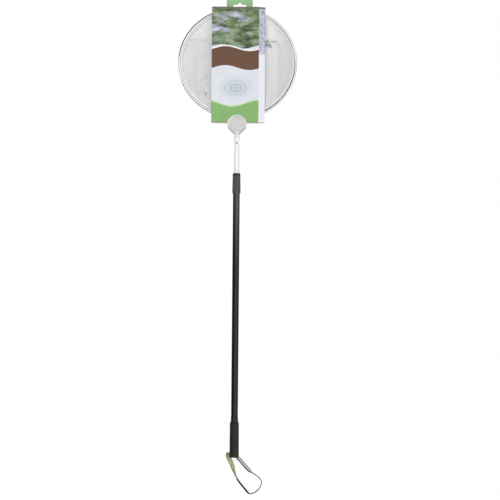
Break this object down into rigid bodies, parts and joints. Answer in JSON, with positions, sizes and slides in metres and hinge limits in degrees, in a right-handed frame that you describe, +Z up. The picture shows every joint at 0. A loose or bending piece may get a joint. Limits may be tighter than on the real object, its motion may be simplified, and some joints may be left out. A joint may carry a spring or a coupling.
{
  "type": "telescopic pond net",
  "caption": "Round fine-mesh pond net on a telescopic pole with a twist lock, grip and wrist strap, its net folded flat in a printed card sleeve with a hang tab.",
  "frame": {"origin": "on the pole's axis at the mouth of the inner tube, where the bracket's ring meets it and a rack's fork holds the net", "axes": "+Z up the pole towards the hoop, -Y out of the front of the card sleeve, +X to the right seen from the front"},
  "size_m": [0.35, 0.0457, 1.4664],
  "materials": {
    "anodised_tube": "satin silver",
    "dark_tube": "satin black-brown lacquer",
    "pale_plastic": "pale grey, semi-matt",
    "white_plastic": "white",
    "black_plastic": "black",
    "collar_plastic": "dark grey, semi-matt",
    "grip_rubber": "black, soft",
    "steel": "plain",
    "net_mesh": "fine white net",
    "hem_tape": "white woven tape",
    "seam_tape": "white, flat seam",
    "cord": "white cord",
    "webbing": "olive webbing",
    "printed_card": "coated card, printed"
  },
  "bodies": {
    "head": {"hoop": "anodised_tube", "bead_cord": "cord", "hem_tape": "hem_tape", "net_bag": "net_mesh", "seam_tape": "seam_tape", "bracket_front": "pale_plastic", "bracket_rear": "pale_plastic", "bracket_screws": "steel", "spigot": "pale_plastic", "spigot_rivet": "steel", "inner_tube": "anodised_tube", "stop_pip": "steel", "stop_sleeve": "white_plastic", "inner_bush": "white_plastic"},
    "handle": {"outer_tube": "dark_tube", "collet": "white_plastic", "grip": "grip_rubber", "end_plug": "black_plastic", "strap_pin": "steel", "wrist_strap": "webbing"},
    "collar": {"lock_collar": "collar_plastic", "wiper_ring": "white_plastic"},
    "sleeve": {"sleeve_front": "printed_card", "sleeve_back": "printed_card", "sleeve_staples": "steel"}
  },
  "joints": [
    {"name": "pole_slide", "type": "slide", "parent": "head", "child": "handle", "axis": [0, 0, -1], "range_m": [0, 0.532]},
    {"name": "collar_twist", "type": "hinge", "parent": "handle", "child": "collar", "pos_m": [0, 0, -0.13], "axis": [0, 0, 1], "range_deg": [0, 90]},
    {"name": "sleeve_lift", "type": "slide", "parent": "head", "child": "sleeve", "axis": [0, 0, 1], "range_m": [0, 0.36]}
  ]
}
